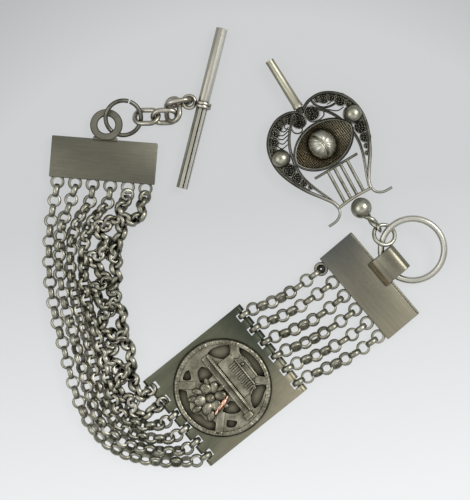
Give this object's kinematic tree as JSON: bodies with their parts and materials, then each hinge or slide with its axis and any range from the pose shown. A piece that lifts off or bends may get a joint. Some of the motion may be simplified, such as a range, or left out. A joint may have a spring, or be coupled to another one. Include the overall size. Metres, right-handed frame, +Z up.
{
  "type": "chatelaine",
  "caption": "Silver waist chatelaine laid out flat: rolo chain strands between bar plates and a medallion plaque, with a toggle bar, a big ring and a lyre-shaped watch key.",
  "frame": {"origin": "middle of the underside of the whole laid-out piece, on the surface that it lies on", "axes": "+Z up, away from the surface; +Y towards the top plate and the toggle bar's upper end; +X towards the big ring"},
  "size_m": [0.1006, 0.1099, 0.006],
  "materials": {
    "worn_silver": "worn, with grey tarnish in the hollows",
    "bright_silver": "worn bright",
    "dark_silver": "blackened, worn pale on its edges"
  },
  "bodies": {
    "root": {"toggle_bar": "bright_silver", "cable_link_1": "worn_silver", "cable_link_2": "worn_silver", "cable_link_3": "worn_silver", "cable_link_4": "worn_silver", "jump_ring": "worn_silver", "top_plate": "worn_silver", "strand_left_1": "worn_silver", "strand_left_2": "worn_silver", "strand_left_3": "worn_silver", "strand_left_4": "worn_silver", "strand_left_5": "worn_silver", "strand_left_6": "worn_silver", "centre_plaque": "worn_silver", "medallion": "dark_silver", "strand_right_1": "worn_silver", "strand_right_2": "worn_silver", "strand_right_3": "worn_silver", "strand_right_4": "worn_silver", "strand_right_5": "worn_silver", "strand_right_6": "worn_silver", "right_plate": "worn_silver", "big_ring": "bright_silver", "key_frame": "dark_silver", "key_cup": "dark_silver", "key_shell": "worn_silver", "key_barrel": "worn_silver"}
  },
  "joints": []
}
